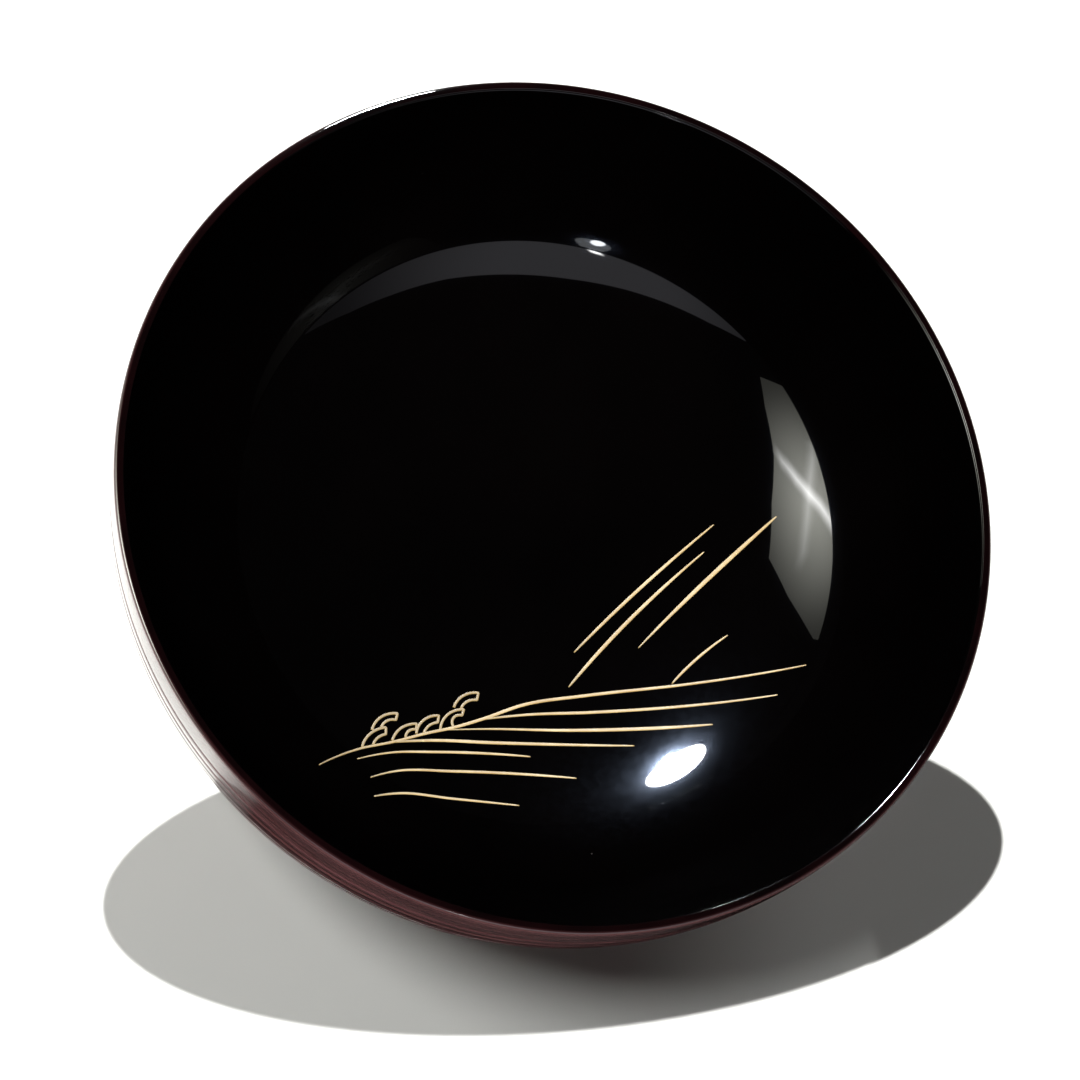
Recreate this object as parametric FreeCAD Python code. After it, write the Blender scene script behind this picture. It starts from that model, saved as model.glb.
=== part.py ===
"""Lacquered wooden sweets bowl: turned wood, three lacquer coats and seventeen raised gold strokes.

Millimetres, +Z up out of the opening, origin at the middle of the foot's resting face.
+X and +Y are the right and the top of the gold drawing on the bowl's floor.
"""
import FreeCAD, Part
import math
import os

Vector = FreeCAD.Vector

# Driving dimensions of the bowl.
BOWL_DIAMETER = 212.0
BOWL_HEIGHT = 93.0
INNER_DEPTH = 83.2
LIP_THICKNESS = 2.2
BOTTOM_THICKNESS = 4.2
WALL_FULLNESS = 2.37        # exponent of the wall's superellipse, 2 would be an ellipse
CURVE_SPANS = 24            # spans of the curve drawn through the superellipse

# Lip.
LIP_OUTER_ROUND = 1.1
LIP_INNER_ROUND = 0.3

# Foot ring and the recess inside it.
FOOT_RADIUS = 47.0
FOOT_FILLET_START = 3.0     # where the wall starts to turn down, outside the foot's side
FOOT_RING_WIDTH = 4.0
RECESS_FILLET = 2.5
FOOT_EDGE_ROUND = 0.5

# Coats and turned grooves.
COAT = 0.6
GROOVE_PITCH = 4.3
GROOVE_FIRST = 9.0          # along the wall from the lip's rounding to the first groove
GROOVE_LAST_GAP = 6.0       # plain wall kept between the last groove and the foot
GROOVE_WIDTH = 1.5
GROOVE_DEPTH = 0.3

# Gold drawing.
GOLD_THICKNESS = 0.15
TUFT_LINE = 0.7
TIP_WIDTH = 0.28

# Sizes worked out from the ones above.
OUTER_RADIUS = BOWL_DIAMETER / 2
INNER_RADIUS = OUTER_RADIUS - LIP_THICKNESS
INNER_FLOOR = BOWL_HEIGHT - INNER_DEPTH
RECESS_CEILING = INNER_FLOOR - BOTTOM_THICKNESS
OUTER_FLOOR = RECESS_CEILING
LIP_SPRING = BOWL_HEIGHT - LIP_OUTER_ROUND
RECESS_RADIUS = FOOT_RADIUS - FOOT_RING_WIDTH

# Strokes of the shoreline: name, points along the middle, widest width, where it is widest (0 to 1).
SHORE_STROKES = [
    ("shore_stroke_1", [(-47.5, -49.5), (-36, -43.5), (-27, -40.8), (-18, -37.8), (-10, -35.6),
                        (-2.5, -33), (8, -29), (24, -26.4), (50, -24.2), (77, -22.6)], 0.85, 0.5),
    ("shore_stroke_2", [(-3, -33.3), (9, -31.7), (24, -31.1), (70, -29.7)], 0.8, 0.45),
    ("shore_stroke_3", [(-13, -36.6), (-4, -36), (20, -36), (54.5, -36)], 0.95, 0.7),
    ("shore_stroke_4", [(-27, -40.9), (-18, -39.8), (0, -39.7), (35, -40.7)], 0.85, 0.4),
    ("shore_stroke_5", [(-37, -46.5), (-28, -43.9), (-16, -42.9), (8.5, -43.4)], 0.7, 0.6),
    ("shore_stroke_6", [(-34, -51.4), (-27, -49), (-12, -48.1), (19.5, -49.5)], 0.75, 0.55),
    ("shore_stroke_7", [(-33.7, -56.8), (-27, -55.3), (-13, -55.9), (4, -57.3)], 0.65, 0.4),
]

# Strokes that slant up to the right above the shore.
SLANT_STROKES = [
    ("slant_stroke_1", [(22, -14.5), (39, 2), (58.5, 18.5)], 0.85, 0.45),
    ("slant_stroke_2", [(20, -24), (38, -4.5), (56, 11.5)], 0.95, 0.4),
    ("slant_stroke_3", [(38.5, -13.5), (57, 4.5), (73, 18.5)], 1.1, 0.6),
    ("slant_stroke_4", [(46, -23.8), (53, -17), (60.5, -11.5)], 0.7, 0.4),
]

# Outlined pine tufts: three points of the outer arc up from its foot, three of the inner back down.
PINE_TUFTS = [
    ("pine_tuft_1", [(-35.4, -43.0), (-33.3, -39.4), (-28.6, -36.9)],
     [(-28.8, -38.8), (-30.9, -39.9), (-32.4, -42.0)]),
    ("pine_tuft_2", [(-32.4, -38.0), (-30.6, -34.9), (-25.3, -32.8)],
     [(-25.8, -34.6), (-28.1, -35.0), (-29.9, -37.2)]),
    ("pine_tuft_3", [(-27.2, -40.5), (-25.4, -37.5), (-20.4, -35.3)],
     [(-20.6, -36.9), (-22.7, -37.5), (-23.6, -39.3)]),
    ("pine_tuft_4", [(-20.7, -38.1), (-19.6, -35.4), (-14.4, -32.7)],
     [(-14.8, -34.6), (-17.1, -35.6), (-18.7, -37.9)]),
    ("pine_tuft_5", [(-14.3, -36.9), (-13.3, -33.8), (-7.7, -30.7)],
     [(-8.3, -32.4), (-10.9, -33.7), (-10.5, -36.0)]),
    ("pine_tuft_6", [(-10.3, -30.3), (-8.7, -27.8), (-3.6, -26.0)],
     [(-4.1, -28.0), (-6.3, -28.3), (-8.4, -30.5)]),
]


def section_point(radius, height):
    """A point of the turned section, in the XZ plane."""
    return Vector(radius, 0, height)


def line(start, end):
    return Part.LineSegment(start, end).toShape()


def arc(centre, radius, start_angle, end_angle):
    """An arc of the section about a centre, with its angles in degrees."""
    points = []
    for angle in (start_angle, (start_angle + end_angle) / 2, end_angle):
        turn = math.radians(angle)
        points.append(centre + Vector(radius * math.cos(turn), 0, radius * math.sin(turn)))
    return Part.Arc(*points).toShape()


def wall_height(radius, rim, top, floor):
    """Height of a wall's superellipse, upright at the rim and level on the axis."""
    share = min(radius / rim, 1.0)
    return top - (top - floor) * (1 - share ** WALL_FULLNESS) ** (1 / WALL_FULLNESS)


def wall_slope(radius, rim, top, floor):
    """Slope of the same superellipse at a radius, as an angle from level."""
    share = radius / rim
    rise = (top - floor) / rim * share ** (WALL_FULLNESS - 1)
    rise /= (1 - share ** WALL_FULLNESS) ** (1 - 1 / WALL_FULLNESS)
    return math.atan(rise)


def wall_curve(rim, top, floor, inmost=0.0):
    """Curve through the superellipse, from the rim in to the radius inmost."""
    last = math.acos((inmost / rim) ** (WALL_FULLNESS / 2))
    points = []
    for span in range(CURVE_SPANS + 1):
        radius = rim * math.cos(last * span / CURVE_SPANS) ** (2 / WALL_FULLNESS)
        points.append(section_point(radius, wall_height(radius, rim, top, floor)))
    slope = wall_slope(inmost, rim, top, floor)
    curve = Part.BSplineCurve()
    curve.interpolate(
        Points=points,
        InitialTangent=Vector(0, 0, -1),
        FinalTangent=Vector(-math.cos(slope), 0, -math.sin(slope)),
    )
    return curve


def turned(edges):
    """The solid turned about the Z axis from a closed section."""
    section = Part.Face(Part.Wire(Part.__sortEdges__(edges)))
    return section.revolve(Vector(0, 0, 0), Vector(0, 0, 1), 360)


def foot_fillet(depth):
    """Start, centre and radius of the hollow between wall and foot, depth under the surface."""
    start_radius = FOOT_RADIUS + FOOT_FILLET_START
    rim, floor = OUTER_RADIUS - depth, OUTER_FLOOR + depth
    slope = wall_slope(start_radius, rim, LIP_SPRING, floor)
    radius = (start_radius - FOOT_RADIUS + depth) / (1 - math.sin(slope))
    start = section_point(start_radius, wall_height(start_radius, rim, LIP_SPRING, floor))
    centre = start + Vector(radius * math.sin(slope), 0, -radius * math.cos(slope))
    return start, centre, radius, 90 + math.degrees(slope)


def outside_edges(depth):
    """Outside of the bowl, from the lip's top to the foot's side, depth under the surface."""
    start, centre, radius, turn = foot_fillet(depth)
    wall = wall_curve(OUTER_RADIUS - depth, LIP_SPRING, OUTER_FLOOR + depth, start.x)
    lip_centre = section_point(OUTER_RADIUS - LIP_OUTER_ROUND, LIP_SPRING)
    return [
        arc(lip_centre, LIP_OUTER_ROUND - depth, 90, 0),
        wall.toShape(),
        arc(centre, radius, turn, 180),
    ]


def recess_edges(depth):
    """Roof, fillet and side of the recess, depth into the wood, down to the foot's edge."""
    roof = RECESS_CEILING + depth
    side = RECESS_RADIUS + depth
    fillet = RECESS_FILLET + depth
    return [
        line(section_point(0, roof), section_point(side - fillet, roof)),
        arc(section_point(side - fillet, roof - fillet), fillet, 90, 0),
    ]


def wood_core():
    """The turned wooden body, with its foot ring, bare of every coat."""
    _, fillet_centre, _, _ = foot_fillet(COAT)
    lip_height = BOWL_HEIGHT - COAT
    inner_rim = INNER_RADIUS + COAT
    foot_side = FOOT_RADIUS - COAT
    recess_side = RECESS_RADIUS + COAT
    recess_arc_end = RECESS_CEILING - RECESS_FILLET
    edges = outside_edges(COAT) + recess_edges(COAT)
    edges += [
        line(section_point(inner_rim, lip_height),
             section_point(OUTER_RADIUS - LIP_OUTER_ROUND, lip_height)),
        wall_curve(inner_rim, lip_height, INNER_FLOOR - COAT).toShape(),
        line(section_point(0, INNER_FLOOR - COAT), section_point(0, RECESS_CEILING + COAT)),
        line(section_point(foot_side, fillet_centre.z), section_point(foot_side, COAT)),
        line(section_point(foot_side, COAT), section_point(recess_side, COAT)),
        line(section_point(recess_side, COAT), section_point(recess_side, recess_arc_end)),
    ]
    return turned(edges)


def inner_lacquer():
    """Black coat on the whole inside, up to the lip band."""
    top = BOWL_HEIGHT - COAT
    return turned([
        wall_curve(INNER_RADIUS, top, INNER_FLOOR).toShape(),
        wall_curve(INNER_RADIUS + COAT, top, INNER_FLOOR - COAT).toShape(),
        line(section_point(INNER_RADIUS, top), section_point(INNER_RADIUS + COAT, top)),
        line(section_point(0, INNER_FLOOR), section_point(0, INNER_FLOOR - COAT)),
    ])


def groove_rings():
    """Rings of V-shaped section that cut the turned grooves, evenly spaced along the wall."""
    start, _, _, _ = foot_fillet(0)
    wall = wall_curve(OUTER_RADIUS, LIP_SPRING, OUTER_FLOOR, start.x)
    count = int((wall.length() - GROOVE_FIRST - GROOVE_LAST_GAP) / GROOVE_PITCH) + 1
    rings = []
    for number in range(count):
        place = wall.parameterAtDistance(GROOVE_FIRST + number * GROOVE_PITCH)
        along = wall.tangent(place)[0] * GROOVE_WIDTH
        outward = Vector(-along.z, 0, along.x) * (2 * GROOVE_DEPTH / GROOVE_WIDTH)
        bottom = wall.value(place) - outward * 0.5
        upper, lower = bottom + outward - along, bottom + outward + along
        rings.append(turned([line(bottom, upper), line(upper, lower), line(lower, bottom)]))
    return rings


def outer_lacquer():
    """Reddish brown coat over the lip, the grooved wall and the foot's side."""
    _, surface_fillet, _, _ = foot_fillet(0)
    _, wood_fillet, _, _ = foot_fillet(COAT)
    lip_bottom = BOWL_HEIGHT - COAT
    wood_rim = INNER_RADIUS + COAT
    wood_side = FOOT_RADIUS - COAT
    arris = section_point(INNER_RADIUS + LIP_INNER_ROUND, BOWL_HEIGHT - LIP_INNER_ROUND)
    edges = outside_edges(0) + outside_edges(COAT)
    edges += [
        line(section_point(arris.x, BOWL_HEIGHT),
             section_point(OUTER_RADIUS - LIP_OUTER_ROUND, BOWL_HEIGHT)),
        arc(arris, LIP_INNER_ROUND, 90, 180),
        line(section_point(INNER_RADIUS, arris.z), section_point(INNER_RADIUS, lip_bottom)),
        line(section_point(INNER_RADIUS, lip_bottom), section_point(wood_rim, lip_bottom)),
        line(section_point(wood_rim, lip_bottom),
             section_point(OUTER_RADIUS - LIP_OUTER_ROUND, lip_bottom)),
        line(section_point(FOOT_RADIUS, surface_fillet.z), section_point(FOOT_RADIUS, COAT)),
        line(section_point(FOOT_RADIUS, COAT), section_point(wood_side, COAT)),
        line(section_point(wood_side, COAT), section_point(wood_side, wood_fillet.z)),
    ]
    return turned(edges).cut(groove_rings())


def foot_lacquer():
    """Black coat under the foot ring and all over the recess."""
    recess_arc_end = RECESS_CEILING - RECESS_FILLET
    wood_recess = RECESS_RADIUS + COAT
    edges = recess_edges(0) + recess_edges(COAT)
    edges += [
        line(section_point(0, RECESS_CEILING), section_point(0, RECESS_CEILING + COAT)),
        line(section_point(RECESS_RADIUS, recess_arc_end),
             section_point(RECESS_RADIUS, FOOT_EDGE_ROUND)),
        arc(section_point(RECESS_RADIUS + FOOT_EDGE_ROUND, FOOT_EDGE_ROUND),
            FOOT_EDGE_ROUND, 180, 270),
        line(section_point(RECESS_RADIUS + FOOT_EDGE_ROUND, 0),
             section_point(FOOT_RADIUS - FOOT_EDGE_ROUND, 0)),
        arc(section_point(FOOT_RADIUS - FOOT_EDGE_ROUND, FOOT_EDGE_ROUND),
            FOOT_EDGE_ROUND, 270, 360),
        line(section_point(FOOT_RADIUS, FOOT_EDGE_ROUND), section_point(FOOT_RADIUS, COAT)),
        line(section_point(FOOT_RADIUS, COAT), section_point(wood_recess, COAT)),
        line(section_point(wood_recess, COAT), section_point(wood_recess, recess_arc_end)),
    ]
    return turned(edges)


def flat_face(edges):
    """A flat face that looks up, from its outline."""
    face = Part.Face(Part.Wire(Part.__sortEdges__(edges)))
    return face if face.normalAt(0, 0).z > 0 else face.reversed()


def smooth_edge(points):
    """A smooth curve through flat points."""
    curve = Part.BSplineCurve()
    curve.interpolate([Vector(x, y, 0) for x, y in points])
    return curve


def stroke_face(points, width, widest):
    """Flat outline of one brush stroke, swelling from a fine tip and closing to one."""
    middle = smooth_edge(points)
    skew = math.log(0.5) / math.log(widest)
    steps = 4 * (len(points) - 1)
    first, last = middle.FirstParameter, middle.LastParameter
    sides = [[], []]
    for step in range(steps + 1):
        along = step / steps
        place = first + (last - first) * along
        tangent = middle.tangent(place)[0]
        swell = math.sin(math.pi * along ** skew) if 0 < step < steps else 0
        half = (TIP_WIDTH + (width - TIP_WIDTH) * swell ** 0.6) / 2
        point = middle.value(place)
        sides[0].append((point.x - tangent.y * half, point.y + tangent.x * half))
        sides[1].append((point.x + tangent.y * half, point.y - tangent.x * half))
    left, right = [smooth_edge(side) for side in sides]
    outline = [
        left.toShape(),
        line(left.value(left.LastParameter), right.value(right.LastParameter)),
        right.toShape(),
        line(right.value(right.FirstParameter), left.value(left.FirstParameter)),
    ]
    return flat_face(outline)


def flat_band(start, middle, end):
    """A line of the tuft's width along the arc through three flat points."""
    spine = Part.Arc(start, middle, end).toShape().Curve
    edges = []
    for side in (-1, 1):
        share = 1 + side * TUFT_LINE / 2 / spine.Radius
        points = [spine.Center + (point - spine.Center) * share for point in (start, middle, end)]
        edges.append(Part.Arc(*points).toShape())
    inside, outside = edges
    edges += [line(inside.firstVertex().Point, outside.firstVertex().Point),
              line(inside.lastVertex().Point, outside.lastVertex().Point)]
    return flat_face(edges)


def flat_bar(start, end):
    """A straight line of the tuft's width, carried on by half its width at both ends."""
    along = (end - start).normalize() * (TUFT_LINE / 2)
    across = Vector(-along.y, along.x, 0)
    corners = [start - along + across, end + along + across,
               end + along - across, start - along - across]
    return flat_face(Part.makePolygon(corners + corners[:1]).Edges)


def tuft_face(outer_points, inner_points):
    """Outline of one tuft: an outer and an inner arc joined by a short line at their upper ends."""
    outer = [Vector(x, y, 0) for x, y in outer_points]
    inner = [Vector(x, y, 0) for x, y in inner_points]
    bands = [flat_band(*inner), flat_bar(outer[2], inner[0])]
    return flat_band(*outer).fuse(bands).removeSplitter()


def gold_skin():
    """Thin layer on the floor and wall that every gold stroke is a piece of."""
    top = BOWL_HEIGHT - COAT
    floor = INNER_FLOOR + GOLD_THICKNESS
    return turned([
        wall_curve(INNER_RADIUS, top, INNER_FLOOR).toShape(),
        wall_curve(INNER_RADIUS - GOLD_THICKNESS, top, floor).toShape(),
        line(section_point(INNER_RADIUS, top), section_point(INNER_RADIUS - GOLD_THICKNESS, top)),
        line(section_point(0, INNER_FLOOR), section_point(0, floor)),
    ])


def gold_strokes():
    """Every stroke, trimmed where it meets one drawn before it, and laid on the surface."""
    faces = []
    for name, points, width, widest in SHORE_STROKES + SLANT_STROKES:
        faces.append((name, stroke_face(points, width, widest)))
    for name, outer_points, inner_points in PINE_TUFTS:
        faces.append((name, tuft_face(outer_points, inner_points)))
    skin = gold_skin()
    strokes = {}
    drawn = []
    for name, face in faces:
        if drawn:
            face = max(face.cut(drawn).Faces, key=lambda piece: piece.Area)
        drawn.append(face)
        column = face.extrude(Vector(0, 0, BOWL_HEIGHT))
        strokes[name] = column.common(skin)
    return strokes


def main():
    os.makedirs("parts", exist_ok=True)
    nodes = {
        "wood_core": wood_core(),
        "inner_lacquer": inner_lacquer(),
        "outer_lacquer": outer_lacquer(),
        "foot_lacquer": foot_lacquer(),
    }
    nodes.update(gold_strokes())
    for name, shape in nodes.items():
        solids = shape.Solids
        print(name, "valid", shape.isValid(), "solids", len(solids), "mm3", round(shape.Volume, 2))
        if len(solids) == 1:
            shape = solids[0]
        shape.exportStep("parts/" + name + ".step")


main()
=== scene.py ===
"""Lacquered sweets bowl: mirror-black inside with a gold brush drawing, ring-turned brown outside.

Metres, +Z up, the bowl standing on its foot. The coats and the gold strokes are lathe and ribbon
meshes on the same curves as the CAD model, so they replace its nodes; the wooden core stays.
"""
import bisect
import bpy
import cmath
import math
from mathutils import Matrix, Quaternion, Vector


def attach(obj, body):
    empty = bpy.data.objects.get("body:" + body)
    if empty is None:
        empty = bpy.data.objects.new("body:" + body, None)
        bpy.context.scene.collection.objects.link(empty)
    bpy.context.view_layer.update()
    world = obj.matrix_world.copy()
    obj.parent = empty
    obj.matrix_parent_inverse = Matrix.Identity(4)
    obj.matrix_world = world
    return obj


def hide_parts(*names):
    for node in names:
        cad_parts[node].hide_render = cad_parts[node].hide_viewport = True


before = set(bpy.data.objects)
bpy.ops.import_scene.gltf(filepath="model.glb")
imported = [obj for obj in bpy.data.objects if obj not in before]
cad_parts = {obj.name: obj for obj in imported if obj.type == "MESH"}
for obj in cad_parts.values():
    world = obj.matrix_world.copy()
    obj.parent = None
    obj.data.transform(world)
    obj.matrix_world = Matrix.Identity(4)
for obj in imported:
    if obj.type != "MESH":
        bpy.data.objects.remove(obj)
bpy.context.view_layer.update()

MM = 0.001

# The bowl, as in the CAD model.
OUTER_RADIUS = 106 * MM
HEIGHT = 93 * MM
INNER_RADIUS = OUTER_RADIUS - 2.2 * MM
INNER_FLOOR = HEIGHT - 83.2 * MM
RECESS_CEILING = INNER_FLOOR - 4.2 * MM
FULLNESS = 2.37
COAT = 0.6 * MM
LIP_OUTER_ROUND = 1.1 * MM
LIP_INNER_ROUND = 0.3 * MM
LIP_SPRING = HEIGHT - LIP_OUTER_ROUND
LIP_BAND = HEIGHT - COAT
FOOT_RADIUS = 47 * MM
FOOT_FILLET_START = 3 * MM
RECESS_RADIUS = 43 * MM
RECESS_FILLET = 2.5 * MM
FOOT_EDGE_ROUND = 0.5 * MM
GROOVE_PITCH = 4.3 * MM
GROOVE_FIRST = 9 * MM
GROOVE_LAST_GAP = 6 * MM
GROOVE_WIDTH = 1.5 * MM
GROOVE_DEPTH = 0.3 * MM
GOLD_THICKNESS = 0.15 * MM
TUFT_LINE = 0.7
TIP_WIDTH = 0.28

# Section of a gold line: share of the half width, share of the thickness. It sinks a little
# into the coat at its sides.
RIBBON_SECTION = ((-1.0, 0.0), (-0.93, 0.55), (-0.8, 0.88), (-0.45, 1.0), (0.45, 1.0), (0.8, 0.88),
                  (0.93, 0.55), (1.0, 0.0), (1.0, -0.2), (-1.0, -0.2))

# Fineness of the lathe meshes.
TURN_STEPS = 288
INNER_STEPS = 150
BACK_STEPS = 36
GROOVE_STEPS = 8
ROUND_STEPS = 6
PATH_STEPS = 20
ON_AXIS = 1e-6

# Gold strokes in millimetres: points along the middle, widest width, where it is widest.
STROKES = {
    "shore_stroke_1": ([(-47.5, -49.5), (-36, -43.5), (-27, -40.8), (-18, -37.8), (-10, -35.6),
                        (-2.5, -33), (8, -29), (24, -26.4), (50, -24.2), (77, -22.6)], 0.85, 0.5),
    "shore_stroke_2": ([(-3, -33.3), (9, -31.7), (24, -31.1), (70, -29.7)], 0.8, 0.45),
    "shore_stroke_3": ([(-13, -36.6), (-4, -36), (20, -36), (54.5, -36)], 0.95, 0.7),
    "shore_stroke_4": ([(-27, -40.9), (-18, -39.8), (0, -39.7), (35, -40.7)], 0.85, 0.4),
    "shore_stroke_5": ([(-37, -46.5), (-28, -43.9), (-16, -42.9), (8.5, -43.4)], 0.7, 0.6),
    "shore_stroke_6": ([(-34, -51.4), (-27, -49), (-12, -48.1), (19.5, -49.5)], 0.75, 0.55),
    "shore_stroke_7": ([(-33.7, -56.8), (-27, -55.3), (-13, -55.9), (4, -57.3)], 0.65, 0.4),
    "slant_stroke_1": ([(22, -14.5), (39, 2), (58.5, 18.5)], 0.85, 0.45),
    "slant_stroke_2": ([(20, -24), (38, -4.5), (56, 11.5)], 0.95, 0.4),
    "slant_stroke_3": ([(38.5, -13.5), (57, 4.5), (73, 18.5)], 1.1, 0.6),
    "slant_stroke_4": ([(46, -23.8), (53, -17), (60.5, -11.5)], 0.7, 0.4),
}

# Pine tufts: three points of the outer arc up from its foot, three of the inner back down.
TUFTS = {
    "pine_tuft_1": ([(-35.4, -43.0), (-33.3, -39.4), (-28.6, -36.9)],
                    [(-28.8, -38.8), (-30.9, -39.9), (-32.4, -42.0)]),
    "pine_tuft_2": ([(-32.4, -38.0), (-30.6, -34.9), (-25.3, -32.8)],
                    [(-25.8, -34.6), (-28.1, -35.0), (-29.9, -37.2)]),
    "pine_tuft_3": ([(-27.2, -40.5), (-25.4, -37.5), (-20.4, -35.3)],
                    [(-20.6, -36.9), (-22.7, -37.5), (-23.6, -39.3)]),
    "pine_tuft_4": ([(-20.7, -38.1), (-19.6, -35.4), (-14.4, -32.7)],
                    [(-14.8, -34.6), (-17.1, -35.6), (-18.7, -37.9)]),
    "pine_tuft_5": ([(-14.3, -36.9), (-13.3, -33.8), (-7.7, -30.7)],
                    [(-8.3, -32.4), (-10.9, -33.7), (-10.5, -36.0)]),
    "pine_tuft_6": ([(-10.3, -30.3), (-8.7, -27.8), (-3.6, -26.0)],
                    [(-4.1, -28.0), (-6.3, -28.3), (-8.4, -30.5)]),
}

# Camera: a long lens above the near side, turned about its own axis as the photographer held it.
NEAR_SIDE = 126.3
LEAN = 24.28
CAMERA_DISTANCE = 7.5 * OUTER_RADIUS
LENS = 112.96
ROLL = 36.3


# ---------------------------------------------------------------- turned shapes

def wall_height(radius, rim, top, floor):
    """Height of a wall's superellipse at a radius."""
    share = min(radius / rim, 1.0)
    return top - (top - floor) * (1 - share ** FULLNESS) ** (1 / FULLNESS)


def wall_slope(radius, rim, top, floor):
    """Slope of the same superellipse, as an angle from level."""
    share = min(radius / rim, 0.99999)
    rise = (top - floor) / rim * share ** (FULLNESS - 1)
    return math.atan(rise / (1 - share ** FULLNESS) ** (1 - 1 / FULLNESS))


def wall_points(rim, top, floor, inmost, steps):
    """Points (radius, height) down a wall, from the rim in to the radius inmost."""
    last = math.acos((inmost / rim) ** (FULLNESS / 2))
    points = []
    for step in range(steps + 1):
        radius = rim * max(math.cos(last * step / steps), 0) ** (2 / FULLNESS)
        if step == steps:
            radius = inmost
        points.append((radius, wall_height(radius, rim, top, floor)))
    return points


def arc_points(centre, radius, start, end, steps=ROUND_STEPS):
    """Points of an arc in the turned section, with its angles in degrees."""
    points = []
    for step in range(steps + 1):
        turn = math.radians(start + (end - start) * step / steps)
        points.append((centre[0] + radius * math.cos(turn), centre[1] + radius * math.sin(turn)))
    return points


def foot_fillet(depth):
    """Start radius, centre, radius and start angle of the hollow between wall and foot."""
    start = FOOT_RADIUS + FOOT_FILLET_START
    rim, floor = OUTER_RADIUS - depth, RECESS_CEILING + depth
    slope = wall_slope(start, rim, LIP_SPRING, floor)
    radius = (start - FOOT_RADIUS + depth) / (1 - math.sin(slope))
    height = wall_height(start, rim, LIP_SPRING, floor)
    centre = (start + radius * math.sin(slope), height - radius * math.cos(slope))
    return start, centre, radius, 90 + math.degrees(slope)


def groove_dip(along, length):
    """Depth of the turned grooves, from 0 to 1, at a distance along the wall."""
    last = length - GROOVE_LAST_GAP
    number = round((along - GROOVE_FIRST) / GROOVE_PITCH)
    middle = GROOVE_FIRST + number * GROOVE_PITCH
    away = abs(along - middle) / (GROOVE_WIDTH / 2)
    if number < 0 or middle > last or away >= 1:
        return 0.0
    return 0.5 + 0.5 * math.cos(math.pi * away)


def groove_stops(total):
    """Distances along the wall that need a point: close together in the grooves."""
    stops = {0.0, total}
    count = int((total - GROOVE_FIRST - GROOVE_LAST_GAP) / GROOVE_PITCH) + 1
    for number in range(count):
        middle = GROOVE_FIRST + number * GROOVE_PITCH
        for step in range(GROOVE_STEPS + 1):
            stops.add(middle + GROOVE_WIDTH * (step / GROOVE_STEPS - 0.5))
        stops.add(middle + GROOVE_PITCH / 2)
    for step in range(1, 6):
        stops.add(GROOVE_FIRST * step / 6)
    return sorted(stops)


def grooved_wall():
    """Outer wall from lip to foot: points (radius, height, mark) dense enough for the grooves.

    The mark is the distance down the wall, in metres.
    """
    start, _, _, _ = foot_fillet(0)
    fine = wall_points(OUTER_RADIUS, LIP_SPRING, RECESS_CEILING, start, 900)
    lengths = [0.0]
    for before, after in zip(fine, fine[1:]):
        lengths.append(lengths[-1] + math.dist(before, after))
    points = []
    for along in groove_stops(lengths[-1]):
        index = min(max(bisect.bisect(lengths, along), 1), len(fine) - 1)
        before, after = fine[index - 1], fine[index]
        share = (along - lengths[index - 1]) / (lengths[index] - lengths[index - 1])
        radius = before[0] + (after[0] - before[0]) * share
        height = before[1] + (after[1] - before[1]) * share
        slope = wall_slope(radius, OUTER_RADIUS, LIP_SPRING, RECESS_CEILING)
        dip = GROOVE_DEPTH * groove_dip(along, lengths[-1])
        points.append((radius - dip * math.sin(slope), height + dip * math.cos(slope), along))
    return points


def smooth_piece(name, verts, faces, marks):
    """A smooth mesh object, with the attribute mark at its points."""
    mesh = bpy.data.meshes.new(name)
    mesh.from_pydata(verts, [], faces)
    mesh.shade_smooth()
    layer = mesh.attributes.new("mark", "FLOAT", "POINT")
    layer.data.foreach_set("value", marks)
    piece = bpy.data.objects.new(name, mesh)
    bpy.context.scene.collection.objects.link(piece)
    return piece


def lathe(name, profile):
    """A closed smooth mesh turned about the Z axis from a closed loop of (radius, height).

    A third number at a profile point is kept on the mesh as the attribute mark.
    """
    verts, rings, marks = [], [], []
    for radius, height, *mark in profile:
        turns = TURN_STEPS if radius > ON_AXIS else 1
        rings.append(range(len(verts), len(verts) + turns))
        for step in range(turns):
            turn = 2 * math.pi * step / TURN_STEPS
            verts.append((radius * math.cos(turn), radius * math.sin(turn), height))
            marks.append(mark[0] if mark else 0.0)
    faces = []
    for first, second in zip(rings, rings[1:] + rings[:1]):
        if len(first) == 1 and len(second) == 1:
            continue
        for step in range(TURN_STEPS):
            after = (step + 1) % TURN_STEPS
            if len(first) == 1:
                faces.append((first[0], second[step], second[after]))
            elif len(second) == 1:
                faces.append((first[step], second[0], first[after]))
            else:
                faces.append((first[step], second[step], second[after], first[after]))
    return smooth_piece(name, verts, faces, marks)


def make_inner_coat():
    """Black coat: its mirror face inside, and its back against the wood."""
    face = wall_points(INNER_RADIUS, LIP_BAND, INNER_FLOOR, 0, INNER_STEPS)
    back = wall_points(INNER_RADIUS + COAT, LIP_BAND, INNER_FLOOR - COAT, 0, BACK_STEPS)
    return lathe("inner_coat", list(reversed(back)) + face)


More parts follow.
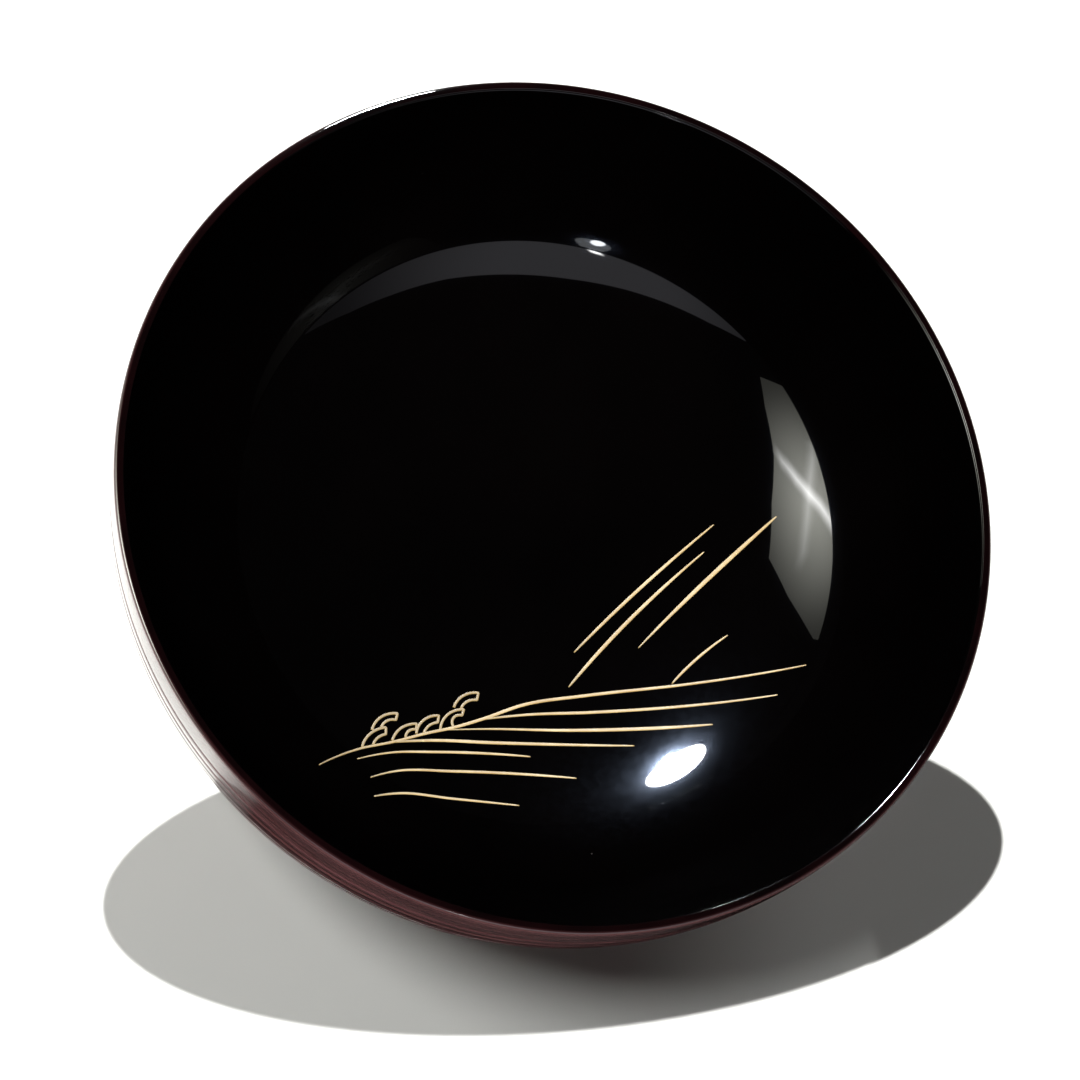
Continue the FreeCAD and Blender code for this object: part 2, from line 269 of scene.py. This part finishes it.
def make_outer_coat():
    """Brown coat: lip, grooved wall and the foot's side, and its back against the wood.

    Its mark is the distance down the wall from where the lip's rounding ends; on the lip it is
    below zero, and on the back, which is hidden, zero.
    """
    start, centre, radius, turn = foot_fillet(0)
    _, wood_centre, wood_radius, wood_turn = foot_fillet(COAT)
    lip_centre = (OUTER_RADIUS - LIP_OUTER_ROUND, LIP_SPRING)
    arris = (INNER_RADIUS + LIP_INNER_ROUND, HEIGHT - LIP_INNER_ROUND)
    lip = [(INNER_RADIUS, LIP_BAND)]
    lip += arc_points(arris, LIP_INNER_ROUND, 180, 90)
    lip += arc_points(lip_centre, LIP_OUTER_ROUND, 90, 0, 10)
    outside = []
    for place, point in enumerate(lip[:-1]):
        rest = sum(math.dist(a, b) for a, b in zip(lip[place:], lip[place + 1:]))
        outside.append((*point, -rest))
    outside += grooved_wall()
    total = outside[-1][2]
    outside += [(*point, total) for point in arc_points(centre, radius, turn, 180)[1:]]
    outside += [(FOOT_RADIUS, centre[1] * 0.5, total), (FOOT_RADIUS, COAT, total)]
    back = [(FOOT_RADIUS - COAT, COAT)]
    back += arc_points(wood_centre, wood_radius, 180, wood_turn)
    wood_wall = wall_points(
        OUTER_RADIUS - COAT, LIP_SPRING, RECESS_CEILING + COAT, start, BACK_STEPS)
    back += list(reversed(wood_wall))[1:]
    back += arc_points(lip_centre, LIP_OUTER_ROUND - COAT, 0, 90)[1:]
    back += [(INNER_RADIUS + COAT, LIP_BAND)]
    return lathe("outer_coat", list(reversed(outside + back)))


def make_foot_coat():
    """Black coat under the foot ring and all over the recess."""
    profile = [(0, RECESS_CEILING), (RECESS_RADIUS * 0.45, RECESS_CEILING)]
    corner = (RECESS_RADIUS - RECESS_FILLET, RECESS_CEILING - RECESS_FILLET)
    profile += arc_points(corner, RECESS_FILLET, 90, 0, 10)
    profile += arc_points(
        (RECESS_RADIUS + FOOT_EDGE_ROUND, FOOT_EDGE_ROUND), FOOT_EDGE_ROUND, 180, 270)
    profile += arc_points(
        (FOOT_RADIUS - FOOT_EDGE_ROUND, FOOT_EDGE_ROUND), FOOT_EDGE_ROUND, 270, 360)
    profile += [(FOOT_RADIUS, COAT), (RECESS_RADIUS + COAT, COAT)]
    profile += arc_points(corner, RECESS_FILLET + COAT, 0, 90, 10)
    profile += [(0, RECESS_CEILING + COAT)]
    profile.reverse()
    return lathe("foot_coat", profile)


# ---------------------------------------------------------------- gold strokes

def knot_tangents(points):
    """Direction and speed at each point of the smooth curve through flat points.

    The curve runs at unit speed between the points, on the parabola through each and its
    neighbours.
    """
    spans = [math.dist(before, after) for before, after in zip(points, points[1:])]
    slopes = []
    for span, before, after in zip(spans, points, points[1:]):
        slopes.append(((after[0] - before[0]) / span, (after[1] - before[1]) / span))
    tangents = []
    for place in range(1, len(spans)):
        total = spans[place - 1] + spans[place]
        tangents.append(tuple(
            (slopes[place - 1][axis] * spans[place] + slopes[place][axis] * spans[place - 1]) / total
            for axis in (0, 1)))
    first = tuple(2 * slopes[0][axis] - tangents[0][axis] for axis in (0, 1))
    last = tuple(2 * slopes[-1][axis] - tangents[-1][axis] for axis in (0, 1))
    return spans, [first] + tangents + [last]


def smooth_path(points, spacing=0.6):
    """Evenly spaced points on a smooth curve through a few flat points, in millimetres."""
    spans, tangents = knot_tangents(points)
    fine = [points[0]]
    for place, span in enumerate(spans):
        for step in range(1, PATH_STEPS + 1):
            t = step / PATH_STEPS
            from_start = (1 + 2 * t) * (1 - t) ** 2
            leave, arrive = t * (1 - t) ** 2 * span, t * t * (t - 1) * span
            fine.append(tuple(
                points[place][axis] * from_start + points[place + 1][axis] * (1 - from_start)
                + tangents[place][axis] * leave + tangents[place + 1][axis] * arrive
                for axis in (0, 1)))
    return even_points(fine, spacing)


def flat_arc(start, middle, end, steps=24):
    """Points along the arc through three flat points."""
    a, b, c = [complex(*point) for point in (start, middle, end)]
    ratio = (c - a) / (b - a)
    centre = a - (a - b) * (ratio - abs(ratio) ** 2) / (2j * ratio.imag)
    turn = cmath.phase((c - centre) / (a - centre))
    points = []
    for step in range(steps + 1):
        spot = centre + (a - centre) * cmath.rect(1, turn * step / steps)
        points.append((spot.real, spot.imag))
    return points


def even_points(fine, spacing):
    """The same line with evenly spaced points."""
    lengths = [0.0]
    for before, after in zip(fine, fine[1:]):
        lengths.append(lengths[-1] + math.dist(before, after))
    count = max(int(lengths[-1] / spacing), 8)
    points = []
    for number in range(count + 1):
        along = lengths[-1] * number / count
        index = min(max(bisect.bisect(lengths, along), 1), len(fine) - 1)
        span = lengths[index] - lengths[index - 1]
        share = (along - lengths[index - 1]) / span if span else 0
        before, after = fine[index - 1], fine[index]
        points.append((
            before[0] + (after[0] - before[0]) * share,
            before[1] + (after[1] - before[1]) * share,
        ))
    return points


def on_bowl(x, y, lift):
    """The point of the inside at flat place x, y in millimetres, lifted along its normal."""
    radius = math.hypot(x, y) * MM
    height = wall_height(radius, INNER_RADIUS, LIP_BAND, INNER_FLOOR)
    slope = wall_slope(radius, INNER_RADIUS, LIP_BAND, INNER_FLOOR)
    inward = math.sin(slope) * lift
    share = 1 - inward / radius if radius > 1e-6 else 1
    return (x * MM * share, y * MM * share, height + math.cos(slope) * lift)


def sideways(points, place):
    """Unit vector to the left of a flat line at one of its points."""
    before = points[max(place - 1, 0)]
    after = points[min(place + 1, len(points) - 1)]
    length = math.dist(before, after)
    return (before[1] - after[1]) / length, (after[0] - before[0]) / length


def ribbon(name, points, halves, marks):
    """A raised line of gold along flat points, half as wide each side as halves says."""
    verts = []
    for place, (x, y) in enumerate(points):
        side = sideways(points, place)
        crown = GOLD_THICKNESS * min(halves[place] / 0.25, 1.0)
        for share, rise in RIBBON_SECTION:
            reach = halves[place] * share
            verts.append(on_bowl(x + side[0] * reach, y + side[1] * reach, crown * rise))
    width = len(RIBBON_SECTION)
    marks = [mark for mark in marks for _ in range(width)]
    faces = []
    for row in range(0, width * (len(points) - 1), width):
        for step in range(width):
            after = (step + 1) % width
            faces.append((row + step, row + width + step, row + width + after, row + after))
    faces.append(tuple(range(width)))
    faces.append(tuple(reversed(range(len(verts) - width, len(verts)))))
    return smooth_piece(name, verts, faces, marks)


def make_stroke(node):
    """One brush stroke, swelling from a fine tip and closing to one; its mark runs from 0 to 1."""
    knots, width, widest = STROKES[node]
    points = smooth_path(knots)
    skew = math.log(0.5) / math.log(widest)
    shares = [place / (len(points) - 1) for place in range(len(points))]
    halves = []
    for share in shares:
        swell = abs(math.sin(math.pi * share ** skew)) ** 0.6
        halves.append((TIP_WIDTH + (width - TIP_WIDTH) * swell) / 2)
    return ribbon(node.replace("stroke", "line"), points, halves, shares)


def make_tuft(node):
    """One tuft as a single brush line: up the outer arc, over its end, back down the inner arc.

    Its mark is 0, as at the pale start of a stroke.
    """
    outer, inner = TUFTS[node]
    points = even_points(flat_arc(*outer) + flat_arc(*inner), 0.25)
    halves = [TUFT_LINE / 2] * len(points)
    return ribbon(node.replace("pine_", "") + "_line", points, halves, [0.0] * len(points))


# ---------------------------------------------------------------- materials

class Shader:
    """A small helper that adds nodes and links to one material."""

    def __init__(self, name, **values):
        self.material = bpy.data.materials.new(name)
        self.material.use_nodes = True
        self.tree = self.material.node_tree
        self.shader = self.tree.nodes["Principled BSDF"]
        for socket, value in values.items():
            self.shader.inputs[socket.replace("_", " ")].default_value = value

    def add(self, kind, inputs=None, **settings):
        """A node with its settings, and a value for each of the inputs named."""
        node = self.tree.nodes.new(kind)
        for name, value in settings.items():
            setattr(node, name, value)
        for name, value in (inputs or {}).items():
            node.inputs[name].default_value = value
        return node

    def link(self, output, entry):
        self.tree.links.new(output, entry)

    def drive(self, output, socket):
        """Feeds one socket of the surface."""
        self.link(output, self.shader.inputs[socket])

    def place(self, stretch=(1, 1, 1)):
        """The point's place in the bowl's own space, stretched along the axes."""
        spot = self.add("ShaderNodeTexCoord")
        mapping = self.add("ShaderNodeMapping", {"Scale": stretch})
        self.link(spot.outputs["Object"], mapping.inputs["Vector"])
        return mapping.outputs["Vector"]

    def noise(self, scale, detail=3.0, roughness=0.5, stretch=(1, 1, 1)):
        """Noise in the bowl's own space, from 0 to 1."""
        texture = self.add(
            "ShaderNodeTexNoise", {"Scale": scale, "Detail": detail, "Roughness": roughness})
        self.link(self.place(stretch), texture.inputs["Vector"])
        return texture.outputs["Fac"]

    def mark(self):
        """The number that the mesh carries at each point."""
        return self.add("ShaderNodeAttribute", attribute_name="mark").outputs["Fac"]

    def ramp(self, value, stops):
        """A colour for a value; stops are (place, colour)."""
        node = self.add("ShaderNodeValToRGB")
        elements = node.color_ramp.elements
        while len(elements) < len(stops):
            elements.new(0.5)
        for element, (place, colour) in zip(elements, stops):
            element.position = place
            element.color = (*colour, 1)
        self.link(value, node.inputs["Fac"])
        return node.outputs["Color"]

    def spread(self, value, start, end, low=0.0, high=1.0):
        """The value carried from start..end to low..high, and held at the ends."""
        node = self.add("ShaderNodeMapRange", {
            "From Min": start, "From Max": end, "To Min": low, "To Max": high})
        self.link(value, node.inputs["Value"])
        return node.outputs["Result"]

    def math(self, operation, first, second):
        """Arithmetic on two values, each an output or a number."""
        node = self.add("ShaderNodeMath", operation=operation)
        for entry, value in zip(node.inputs, (first, second)):
            if isinstance(value, (int, float)):
                entry.default_value = value
            else:
                self.link(value, entry)
        return node.outputs["Value"]

    def blend(self, share, first, second):
        """The first colour where the share is 0, the second where it is 1."""
        node = self.add("ShaderNodeMix", data_type="RGBA")
        entries = [entry for entry in node.inputs if entry.type == "RGBA"]
        for entry, colour in zip(entries, (first, second)):
            if isinstance(colour, tuple):
                entry.default_value = (*colour, 1)
            else:
                self.link(colour, entry)
        self.link(share, node.inputs["Factor"])
        return [entry for entry in node.outputs if entry.type == "RGBA"][0]

    def bump(self, height, strength, distance):
        node = self.add("ShaderNodeBump", {"Strength": strength, "Distance": distance})
        self.link(height, node.inputs["Height"])
        self.drive(node.outputs["Normal"], "Normal")


def black_lacquer():
    """Polished black lacquer: a clear mirror coat over black, with a faint haze and a few specks."""
    make = Shader(
        "black_lacquer", IOR=1.06, Specular_Tint=(0.55, 0.70, 1.0, 1.0),
        Coat_Weight=1.0, Coat_Roughness=0.02, Coat_IOR=1.25)
    tone = make.ramp(make.noise(22, 4), [
        (0.35, (0.0003, 0.0002, 0.0002)),
        (0.70, (0.0006, 0.0004, 0.0004)),
    ])
    cells = make.add("ShaderNodeTexVoronoi", {"Scale": 90.0})
    make.link(make.place(), cells.inputs["Vector"])
    near = make.spread(cells.outputs["Distance"], 0.035, 0.020)
    chosen = make.spread(make.noise(37, 1), 0.66, 0.68)
    speck = make.math("MULTIPLY", near, chosen)
    make.drive(make.blend(speck, tone, (0.055, 0.050, 0.048)), "Base Color")
    make.drive(make.spread(make.noise(420, 6, 0.75), 0.3, 0.7, 0.10, 0.14), "Roughness")
    make.bump(make.noise(700, 2), 0.02, 0.00002)
    return make.material


def brown_lacquer():
    """Reddish brown lacquer with fine turning lines, nearly black over the lip."""
    make = Shader(
        "brown_lacquer", IOR=1.3, Coat_Weight=1.0, Coat_Roughness=0.03, Coat_IOR=1.3)
    along = make.mark()
    waver = make.math("MULTIPLY", make.noise(14, 2), 0.0012)
    rings = make.add(
        "ShaderNodeTexNoise", {"Scale": 900.0, "Detail": 4.0, "Roughness": 0.7},
        noise_dimensions="1D")
    make.link(make.math("ADD", along, waver), rings.inputs["W"])
    lines = rings.outputs["Fac"]
    cloud = make.math("MULTIPLY", make.noise(45, 5, 0.6, (1, 1, 2)), 0.35)
    wall = make.ramp(make.math("ADD", make.math("MULTIPLY", lines, 0.75), cloud), [
        (0.36, (0.024, 0.0078, 0.0082)),
        (0.52, (0.052, 0.0180, 0.0190)),
        (0.68, (0.090, 0.0350, 0.0365)),
    ])
    lip = make.ramp(make.noise(60, 3), [
        (0.35, (0.0008, 0.0002, 0.0003)),
        (0.65, (0.0032, 0.0006, 0.0008)),
    ])
    down = make.spread(along, -0.0015, -0.0002)
    make.drive(make.blend(down, lip, wall), "Base Color")
    polish = make.spread(along, -0.0015, -0.0002, 0.25, 1.0)
    make.drive(make.math("MULTIPLY", make.spread(lines, 0.3, 0.7, 0.16, 0.34), polish), "Roughness")
    make.bump(make.math("MULTIPLY", lines, down), 0.25, 0.00006)
    return make.material


def foot_lacquer():
    """Black lacquer of the foot, less polished, with fine scuffs."""
    make = Shader("foot_lacquer", IOR=1.5, Coat_Weight=0.5, Coat_Roughness=0.12)
    make.drive(make.ramp(make.noise(60, 5, 0.65), [
        (0.35, (0.004, 0.0035, 0.0035)),
        (0.75, (0.012, 0.008, 0.007)),
    ]), "Base Color")
    make.drive(make.spread(make.noise(500, 4, 0.7), 0.3, 0.7, 0.2, 0.45), "Roughness")
    make.bump(make.noise(900, 4), 0.1, 0.00005)
    return make.material


def gold_powder():
    """Gold powder burnished on lacquer: grainy, paler where the brush was set down."""
    make = Shader("gold_powder", Specular_IOR_Level=0.25)
    gold = make.ramp(make.noise(110, 3), [
        (0.32, (0.30, 0.195, 0.072)),
        (0.50, (0.36, 0.252, 0.105)),
        (0.70, (0.44, 0.330, 0.165)),
    ])
    start = make.spread(make.mark(), 0.18, 0.0, 0.0, 0.8)
    make.drive(make.blend(start, gold, (0.21, 0.145, 0.055)), "Base Color")
    make.drive(make.spread(make.noise(2500, 2), 0.3, 0.7, 0.5, 0.7), "Roughness")
    make.bump(make.noise(5000, 2), 0.4, 0.00004)
    return make.material


def bare_wood():
    """Turned wood under the coats: growth rings and fine grain."""
    make = Shader("bare_wood", Roughness=0.6)
    rings = make.add(
        "ShaderNodeTexWave", {"Scale": 40.0, "Distortion": 4.0, "Detail": 3.0}, wave_type="RINGS")
    make.link(make.place(), rings.inputs["Vector"])
    make.drive(make.ramp(rings.outputs["Fac"], [
        (0.2, (0.36, 0.23, 0.13)), (0.8, (0.50, 0.36, 0.22))]), "Base Color")
    make.bump(rings.outputs["Fac"], 0.2, 0.0002)
    return make.material


def pale_floor():
    """A plain white sheet."""
    make = Shader("pale_floor", Roughness=0.9, Specular_IOR_Level=0.2)
    make.drive(make.ramp(make.noise(6, 2), [
        (0.3, (0.84, 0.85, 0.81)), (0.7, (0.86, 0.87, 0.83))]), "Base Color")
    return make.material


def glow(name, colour, peak, edge, centre, inner, outer):
    """Light of a colour, from peak near the centre to edge at the distance outer."""
    make = Shader(name)
    make.tree.nodes.remove(make.shader)
    spot = make.add("ShaderNodeNewGeometry")
    away = make.add("ShaderNodeVectorMath", operation="DISTANCE")
    make.link(spot.outputs["Position"], away.inputs[0])
    away.inputs[1].default_value = centre
    strength = make.add("ShaderNodeMapRange", {
        "From Min": inner, "From Max": outer, "To Min": peak, "To Max": edge},
        interpolation_type="SMOOTHSTEP")
    make.link(away.outputs["Value"], strength.inputs["Value"])
    light = make.add("ShaderNodeEmission", {"Color": (*colour, 1)})
    make.link(strength.outputs["Result"], light.inputs["Strength"])
    make.link(light.outputs["Emission"], make.tree.nodes["Material Output"].inputs["Surface"])
    return make.material


def soft_line(name, radiance):
    """Light that is brightest where the mesh's mark is 1, laid over whatever is behind it."""
    make = Shader(name)
    make.tree.nodes.remove(make.shader)
    light = make.add("ShaderNodeEmission")
    strength = make.math("MULTIPLY", make.math("POWER", make.mark(), 1.6), radiance)
    make.link(strength, light.inputs["Strength"])
    both = make.add("ShaderNodeAddShader")
    make.link(light.outputs["Emission"], both.inputs[0])
    make.link(make.add("ShaderNodeBsdfTransparent").outputs["BSDF"], both.inputs[1])
    make.link(both.outputs["Shader"], make.tree.nodes["Material Output"].inputs["Surface"])
    return make.material


def dark_card():
    """Matt black card."""
    make = Shader("dark_card", Roughness=1.0, Specular_IOR_Level=0.0)
    make.drive(make.ramp(make.noise(30, 2), [
        (0.3, (0.010, 0.010, 0.010)), (0.7, (0.014, 0.014, 0.014))]), "Base Color")
    return make.material


def fading_shade_card():
    """Matt black card that is clear where the mesh's mark is 0: painted shade, standing in for shaded
    floor in reflections.
    """
    make = Shader("fading_shade_card", Roughness=1.0, Specular_IOR_Level=0.0)
    make.drive(make.ramp(make.noise(30, 2), [
        (0.3, (0.010, 0.010, 0.010)), (0.7, (0.014, 0.014, 0.014))]), "Base Color")
    make.drive(make.mark(), "Alpha")
    return make.material


# ---------------------------------------------------------------- studio

def toward(azimuth, elevation):
    """Unit vector from the mouth of the bowl in a direction, azimuth from +X, in degrees."""
    a, e = math.radians(azimuth), math.radians(elevation)
    return Vector((math.cos(a) * math.cos(e), math.sin(a) * math.cos(e), math.sin(e)))


MOUTH = Vector((0, 0, HEIGHT))
CARD_DISTANCE = 1.3
CARD_RINGS = 6


def stage_piece(name, verts, faces, material):
    """A mesh of the studio, which isn't part of the bowl."""
    mesh = bpy.data.meshes.new(name)
    mesh.from_pydata(verts, [], faces)
    mesh.materials.append(material)
    piece = bpy.data.objects.new(name, mesh)
    bpy.context.scene.collection.objects.link(piece)
    return piece


def make_floor(reach):
    corners = [(-reach, -reach, 0), (reach, -reach, 0), (reach, reach, 0), (-reach, reach, 0)]
    stage_piece("floor", corners, [(0, 1, 2, 3)], pale_floor())


def make_backdrop(reach):
    """A pale dome beyond the floor, seen only by the camera."""
    verts, faces = [(0, 0, reach)], []
    for ring in range(1, 13):
        fall = math.radians(90 * ring / 12)
        for step in range(48):
            a = 2 * math.pi * step / 48
            verts.append((reach * math.sin(fall) * math.cos(a), reach * math.sin(fall) * math.sin(a),
                          reach * math.cos(fall)))
    for step in range(48):
        faces.append((0, 1 + step, 1 + (step + 1) % 48))
    for start in range(1, 1 + 48 * 11, 48):
        for step in range(48):
            after = (step + 1) % 48
            faces.append((start + step, start + 48 + step, start + 48 + after, start + after))
    dome = stage_piece("backdrop", verts, faces, glow(
        "backdrop", (1, 1, 1), 1.0, 1.0, MOUTH, 0, 1))
    dome.visible_diffuse = False
    dome.visible_glossy = False
    dome.visible_shadow = False


def make_card(name, corners, material):
    """A glowing sheet, curved round the bowl, seen only in reflections.

    Its corners are directions from the mouth of the bowl (azimuth, elevation).
    """
    rim = [toward(*corner) for corner in corners]
    middle = sum(rim, Vector()).normalized()
    count = len(rim)
    verts, faces = [], []
    for ring in range(CARD_RINGS):
        for spot in rim:
            verts.append(MOUTH + spot.lerp(middle, ring / CARD_RINGS).normalized() * CARD_DISTANCE)
    verts.append(MOUTH + middle * CARD_DISTANCE)
    for start in range(0, count * (CARD_RINGS - 1), count):
        for step in range(count):
            after = (step + 1) % count
            faces.append((start + step, start + after, start + count + after, start + count + step))
    for step in range(count):
        start = count * (CARD_RINGS - 1)
        faces.append((start + step, start + (step + 1) % count, len(verts) - 1))
    hide_but_in_gloss(stage_piece(name, verts, faces, material))


def make_streak(name, route, width, radiance):
    """A soft bright line in front of the cards, along directions (azimuth, elevation).

    It fades out towards its ends and its sides.
    """
    spots = [MOUTH + toward(*direction) * (CARD_DISTANCE * 0.99) for direction in route]
    verts, faces = [], []
    for place, spot in enumerate(spots):
        along = spots[min(place + 1, len(spots) - 1)] - spots[max(place - 1, 0)]
        side = along.cross(spot - MOUTH).normalized() * (width / 2)
        verts += [spot - side, spot, spot + side]
    for row in range(0, len(verts) - 3, 3):
        faces += [(row, row + 1, row + 4, row + 3), (row + 1, row + 2, row + 5, row + 4)]
    streak = stage_piece(name, verts, faces, soft_line(name, radiance))
    layer = streak.data.attributes.new("mark", "FLOAT", "POINT")
    marks = []
    for place in range(len(spots)):
        share = place / (len(spots) - 1)
        marks += [0.0, 1 - abs(2 * share - 1) ** 3, 0.0]
    layer.data.foreach_set("value", marks)
    hide_but_in_gloss(streak)


def hide_but_in_gloss(piece):
    """Leaves a piece of the studio to be seen only in reflections."""
    piece.visible_camera = False
    piece.visible_diffuse = False
    piece.visible_shadow = False


def make_lamp(name, azimuth, elevation, distance, width, height, radiance, turn=0):
    """A soft oval lamp that faces the bowl; radiance is how bright its surface is."""
    data = bpy.data.lights.new(name, "AREA")
    data.shape = "ELLIPSE"
    data.size, data.size_y = width, height
    data.energy = radiance * math.pi * (width * height * math.pi / 4)
    lamp = bpy.data.objects.new(name, data)
    bpy.context.scene.collection.objects.link(lamp)
    lamp.location = MOUTH + toward(azimuth, elevation) * distance
    lamp.rotation_mode = "QUATERNION"
    facing = toward(azimuth, elevation).to_track_quat("Z", "Y")
    lamp.rotation_quaternion = facing @ Quaternion((0, 0, 1), math.radians(turn))
    lamp.visible_camera = False
    return lamp


def make_sheen_lamps():
    """A small lamp close to the bowl, a bright tube in a dimmer bowl, for the gloss alone."""
    tube = make_lamp("key_tube", 98.4, 26.8, 0.238, 0.020, 0.028, 6000)
    bowl = make_lamp("key_bowl", 99.6, 24.7, 0.2385, 0.051, 0.039, 420, turn=15)
    for lamp in (tube, bowl):
        lamp.data.color = (0.94, 0.97, 1.0)
        lamp.visible_diffuse = False


def shadow_flag(name, height, first, last):
    """A flag just over the floor, seen only by the lamps; all or part of one ellipse."""
    centre, reach, depth = complex(0.0186, -0.0725), 0.1194, 0.0412
    verts = []
    for step in range(97):
        a = math.radians(first + (last - first) * step / 96)
        spot = centre + complex(reach * math.cos(a), depth * math.sin(a)) * cmath.rect(1, 0.105)
        verts.append((spot.real, spot.imag, height))
    flag = stage_piece(name, verts, [tuple(range(97))], dark_card())
    flag.visible_camera = False
    flag.visible_diffuse = False
    flag.visible_glossy = False
    return flag


def shade_reflection_card():
    """A dark card on the floor at the near side, seen only in reflections, fading at both ends:
    painted shade that stands in for shaded floor in the bowl's reflections.
    """
    inner, outer, height = 0.095, 0.7, 0.001
    verts, faces, marks = [], [], []
    for step in range(116):
        azimuth = -148 + 2 * step
        a = math.radians(azimuth)
        for reach in (inner, outer):
            verts.append((reach * math.cos(a), reach * math.sin(a), height))
            marks.append(min((azimuth + 148) / 12, (82 - azimuth) / 130, 1.0))
        if step:
            faces.append((2 * step - 2, 2 * step - 1, 2 * step + 1, 2 * step))
    flag = stage_piece("shade_reflection_card", verts, faces, fading_shade_card())
    layer = flag.data.attributes.new("mark", "FLOAT", "POINT")
    layer.data.foreach_set("value", marks)
    hide_but_in_gloss(flag)


def let_through(lamp, flags):
    """Keeps flags from casting a shadow in one lamp's light."""
    passed = bpy.data.collections.new("passed_by_" + lamp.name)
    for flag in flags:
        passed.objects.link(flag)
    lamp.light_linking.blocker_collection = passed
    for entry in passed.collection_objects:
        entry.light_linking.link_state = "EXCLUDE"


def make_soft_lamps():
    """Even light from above and two soft lamps, kept out of reflections, and the floor's shadow."""
    sun = bpy.data.lights.new("top_light", "SUN")
    sun.energy = 5.4
    sun.angle = math.radians(8)
    top = bpy.data.objects.new("top_light", sun)
    bpy.context.scene.collection.objects.link(top)
    top.rotation_mode = "QUATERNION"
    top.rotation_quaternion = toward(-126, 67).to_track_quat("Z", "Y")
    left = make_lamp("left_fill", 183, 59.5, 1.5, 0.48, 0.48, 24)
    back = make_lamp("back_fill", 60, 30, 1.5, 0.8, 0.8, 2.6)
    for lamp in (top, left, back):
        lamp.visible_glossy = False
    whole = shadow_flag("shadow_flag", 0.010, 0, 360)
    right = shadow_flag("right_flag", 0.009, -50, 50)
    let_through(left, [whole])
    let_through(back, [whole, right])


def make_studio():
    make_floor(4.0)
    make_backdrop(3.9)
    make_sheen_lamps()
    make_soft_lamps()
    # Painted shade: a dark card seen only in reflections, in place of shaded floor.
    shade_reflection_card()
    make_card("front_sheet", [
        (-26.2, 2), (-26.2, 18.3), (-36.9, 23.9), (-47.3, 26.7), (-61.4, 28.4), (-77.3, 29.8),
        (-93.6, 29.2), (-108, 26.3), (-118.9, 23.3), (-130.1, 19.5), (-139.6, 14.2), (-141, 2),
        (-118, 2), (-95, 2), (-72, 2), (-49, 2)],
        glow("front_sheet", (0.94, 0.93, 1.0), 1.9, 0.28,
             MOUTH + toward(-97, 26) * CARD_DISTANCE, 0.37, 1.35))
    make_card("side_umbrella", [
        (146.0, 2), (146.0, 19.2), (154.3, 33.5), (163.1, 41.9), (179.3, 39.0), (192.3, 32.3),
        (204.8, 26.0), (211.6, 20.0), (205.6, 12.5), (206, 2), (186, 2), (166, 2)],
        glow("side_umbrella", (1.0, 1.0, 0.88), 30.0, 1.8,
             MOUTH + toward(178, 22) * CARD_DISTANCE, -0.3, 0.68))
    make_streak("umbrella_rib_1", [
        (194, 32.5), (190, 30), (184.5, 26.5), (180, 22.5), (177, 19), (173, 15.5), (169, 12),
        (165, 9)], 0.13, 48)
    make_streak("umbrella_rib_2", [
        (193, 13), (191, 15), (188, 17), (183.5, 21), (179.5, 23.5), (175, 25.5), (166.5, 28.5),
        (160, 29.5)], 0.15, 14)
    make_streak("front_glint", [(-95.5, 14.2), (-97, 14.4), (-98, 14.5), (-99, 14.5), (-100.5, 14.4)],
                0.045, 140)
    world = bpy.data.worlds.new("dim_room")
    world.use_nodes = True
    backdrop = world.node_tree.nodes["Background"]
    backdrop.inputs["Color"].default_value = (1, 1, 1, 1)
    backdrop.inputs["Strength"].default_value = 0.02
    bpy.context.scene.world = world
    bpy.context.scene.view_settings.view_transform = "Standard"


def make_camera():
    data = bpy.data.cameras.new("camera")
    data.lens = LENS
    data.sensor_width = 36
    camera = bpy.data.objects.new("camera", data)
    bpy.context.scene.collection.objects.link(camera)
    lean, near = math.radians(LEAN), math.radians(NEAR_SIDE)
    back = Vector((math.cos(near) * math.sin(lean), -math.sin(near) * math.sin(lean),
                   math.cos(lean)))
    camera.location = MOUTH + back * CAMERA_DISTANCE
    upright = back.to_track_quat("Z", "Y")
    turned = upright @ Quaternion((0, 0, 1), math.radians(ROLL))
    aim = MOUTH + turned @ Vector((-0.058, -0.1103, 0)) * OUTER_RADIUS
    camera.rotation_mode = "QUATERNION"
    tilt = back.rotation_difference(camera.location - aim)
    camera.rotation_quaternion = tilt @ turned
    bpy.context.scene.camera = camera


# ---------------------------------------------------------------- the bowl

def dress(piece, node, material):
    """Puts a material on a piece, lets it ride on the bowl, and stands it for its CAD node."""
    piece.data.materials.append(material)
    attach(piece, "root")
    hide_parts(node)


make_camera()
make_studio()

dress(make_inner_coat(), "inner_lacquer", black_lacquer())
dress(make_outer_coat(), "outer_lacquer", brown_lacquer())
dress(make_foot_coat(), "foot_lacquer", foot_lacquer())
gold = gold_powder()
for node in STROKES:
    line = make_stroke(node)
    dress(line, node, gold)
    line.visible_glossy = False
for node in TUFTS:
    line = make_tuft(node)
    dress(line, node, gold)
    line.visible_glossy = False
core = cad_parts["wood_core"]
core.data.materials.clear()
core.data.materials.append(bare_wood())
